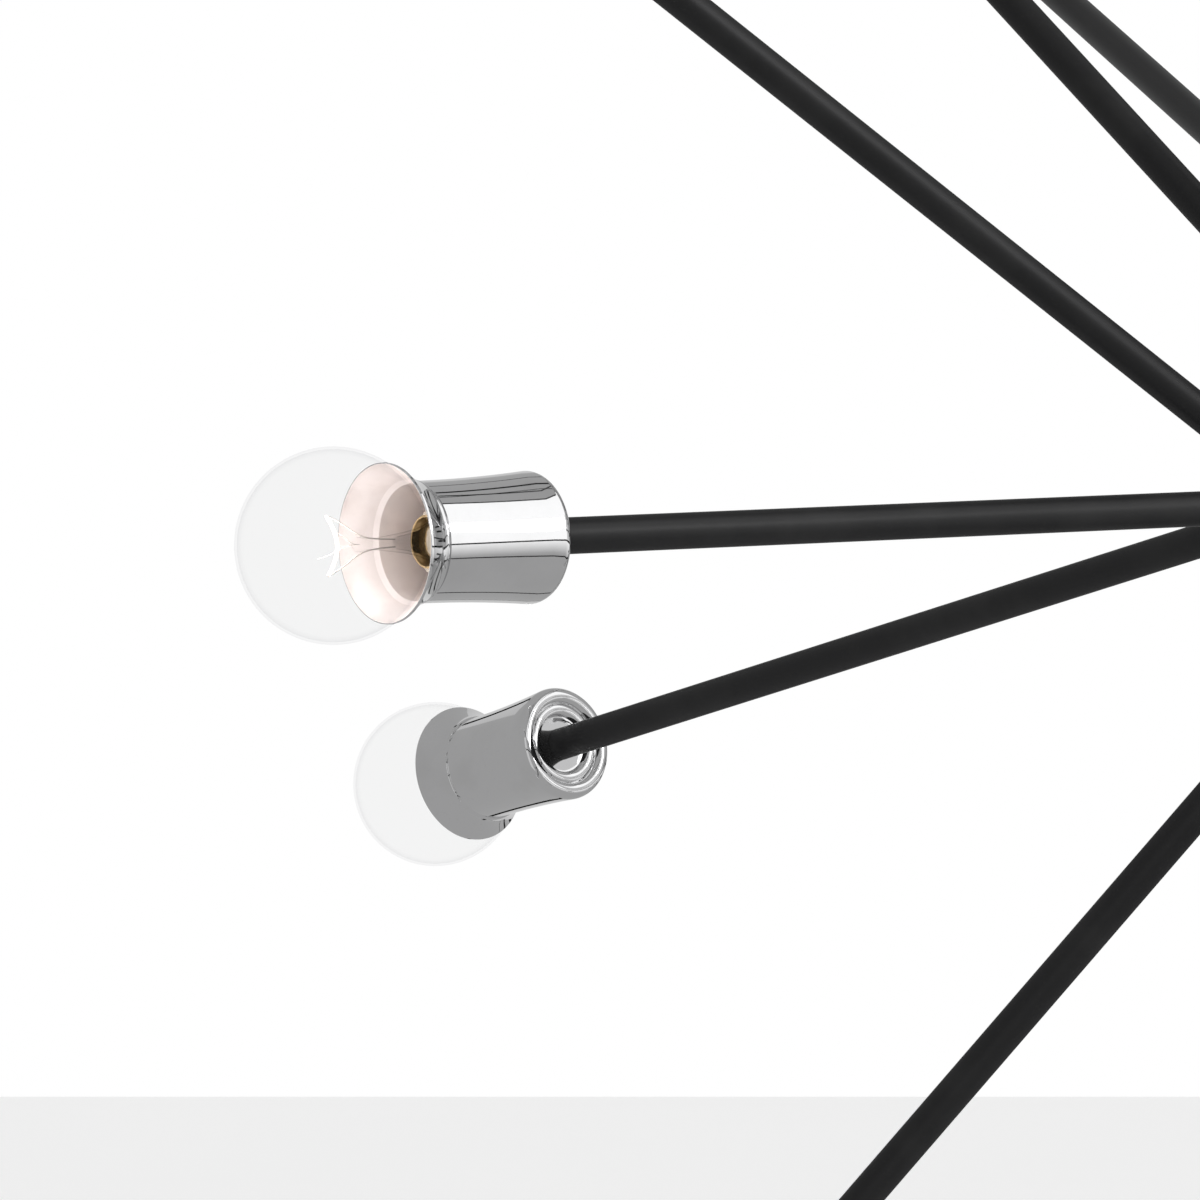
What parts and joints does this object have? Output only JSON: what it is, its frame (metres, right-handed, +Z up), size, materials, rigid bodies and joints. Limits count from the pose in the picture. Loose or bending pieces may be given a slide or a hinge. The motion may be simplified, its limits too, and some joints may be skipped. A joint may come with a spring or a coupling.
{
  "type": "sputnik chandelier",
  "caption": "Sputnik chandelier: straight black arms leave a vertical hub column and end in chrome socket cups with clear globe lamps, hung on rods from a swivel and canopy.",
  "frame": {"origin": "on the hanging axis, in the plane of the ceiling, at the middle of the bracket's two slots", "axes": "+Z up into the ceiling, along the hanging axis; +X along the bracket; +Y away from the viewer of the picture"},
  "size_m": [0.6374, 0.9222, 1.2149],
  "materials": {
    "black_paint": "satin black enamel on steel tube",
    "chrome": "polished chrome plate",
    "clear_glass": "clear blown glass",
    "base_metal": "bright brass screw shell",
    "holder_plastic": "cream phenolic lampholder",
    "plated_steel": "zinc-plated steel"
  },
  "bodies": {
    "ceiling_mount": {"mounting_bracket": "plated_steel", "canopy": "chrome", "canopy_screws": "chrome"},
    "swivel": {"swivel_yoke": "chrome", "swivel_pin": "plated_steel", "swivel_nut": "plated_steel"},
    "fixture": {"swivel_eye": "black_paint", "stem_rods": "black_paint", "hub_cap": "chrome", "hub_column": "chrome", "lampholders": "holder_plastic", "arm_collars": "chrome", "arm_tube_01": "black_paint", "arm_tube_02": "black_paint", "arm_tube_03": "black_paint", "arm_tube_04": "black_paint", "arm_tube_05": "black_paint", "arm_tube_06": "black_paint", "arm_tube_07": "black_paint", "arm_tube_08": "black_paint", "arm_tube_09": "black_paint", "arm_tube_10": "black_paint", "arm_tube_11": "black_paint", "arm_tube_12": "black_paint", "socket_cup_01": "chrome", "socket_cup_02": "chrome", "socket_cup_03": "chrome", "socket_cup_04": "chrome", "socket_cup_05": "chrome", "socket_cup_06": "chrome", "socket_cup_07": "chrome", "socket_cup_08": "chrome", "socket_cup_09": "chrome", "socket_cup_10": "chrome", "socket_cup_11": "chrome", "socket_cup_12": "chrome"},
    "lamp_01": {"lamp_globe_01": "clear_glass", "lamp_base_01": "base_metal"},
    "lamp_02": {"lamp_globe_02": "clear_glass", "lamp_base_02": "base_metal"},
    "lamp_03": {"lamp_globe_03": "clear_glass", "lamp_base_03": "base_metal"},
    "lamp_04": {"lamp_globe_04": "clear_glass", "lamp_base_04": "base_metal"},
    "lamp_05": {"lamp_globe_05": "clear_glass", "lamp_base_05": "base_metal"},
    "lamp_06": {"lamp_globe_06": "clear_glass", "lamp_base_06": "base_metal"},
    "lamp_07": {"lamp_globe_07": "clear_glass", "lamp_base_07": "base_metal"},
    "lamp_08": {"lamp_globe_08": "clear_glass", "lamp_base_08": "base_metal"},
    "lamp_09": {"lamp_globe_09": "clear_glass", "lamp_base_09": "base_metal"},
    "lamp_10": {"lamp_globe_10": "clear_glass", "lamp_base_10": "base_metal"},
    "lamp_11": {"lamp_globe_11": "clear_glass", "lamp_base_11": "base_metal"},
    "lamp_12": {"lamp_globe_12": "clear_glass", "lamp_base_12": "base_metal"}
  },
  "joints": [
    {"name": "swivel_turn", "type": "hinge", "parent": "ceiling_mount", "child": "swivel", "pos_m": [0, 0, -0.026], "axis": [0, 0, 1], "range_deg": [-175, 175]},
    {"name": "swivel_tilt", "type": "hinge", "parent": "swivel", "child": "fixture", "pos_m": [0, 0, -0.05], "axis": [0, 1, 0], "range_deg": [-45, 45]},
    {"name": "lamp_01_out", "type": "slide", "parent": "fixture", "child": "lamp_01", "axis": [-0.8012, -0.5972, -0.0384], "range_m": [0, 0.04]},
    {"name": "lamp_02_out", "type": "slide", "parent": "fixture", "child": "lamp_02", "axis": [-0.6408, 0.7371, -0.2147], "range_m": [0, 0.04]},
    {"name": "lamp_03_out", "type": "slide", "parent": "fixture", "child": "lamp_03", "axis": [-0.6554, -0.0654, -0.7524], "range_m": [0, 0.04]},
    {"name": "lamp_04_out", "type": "slide", "parent": "fixture", "child": "lamp_04", "axis": [-0.7268, -0.4146, 0.5476], "range_m": [0, 0.04]},
    {"name": "lamp_05_out", "type": "slide", "parent": "fixture", "child": "lamp_05", "axis": [-0.6158, 0.3399, 0.7108], "range_m": [0, 0.04]},
    {"name": "lamp_06_out", "type": "slide", "parent": "fixture", "child": "lamp_06", "axis": [-0.1868, 0.9434, 0.274], "range_m": [0, 0.04]},
    {"name": "lamp_07_out", "type": "slide", "parent": "fixture", "child": "lamp_07", "axis": [0.8012, 0.5972, 0.0384], "range_m": [0, 0.04]},
    {"name": "lamp_08_out", "type": "slide", "parent": "fixture", "child": "lamp_08", "axis": [0.6408, -0.7371, 0.2147], "range_m": [0, 0.04]},
    {"name": "lamp_09_out", "type": "slide", "parent": "fixture", "child": "lamp_09", "axis": [0.6554, 0.0654, 0.7524], "range_m": [0, 0.04]},
    {"name": "lamp_10_out", "type": "slide", "parent": "fixture", "child": "lamp_10", "axis": [0.7268, 0.4146, -0.5476], "range_m": [0, 0.04]},
    {"name": "lamp_11_out", "type": "slide", "parent": "fixture", "child": "lamp_11", "axis": [0.6158, -0.3399, -0.7108], "range_m": [0, 0.04]},
    {"name": "lamp_12_out", "type": "slide", "parent": "fixture", "child": "lamp_12", "axis": [0.1868, -0.9434, -0.274], "range_m": [0, 0.04]}
  ]
}
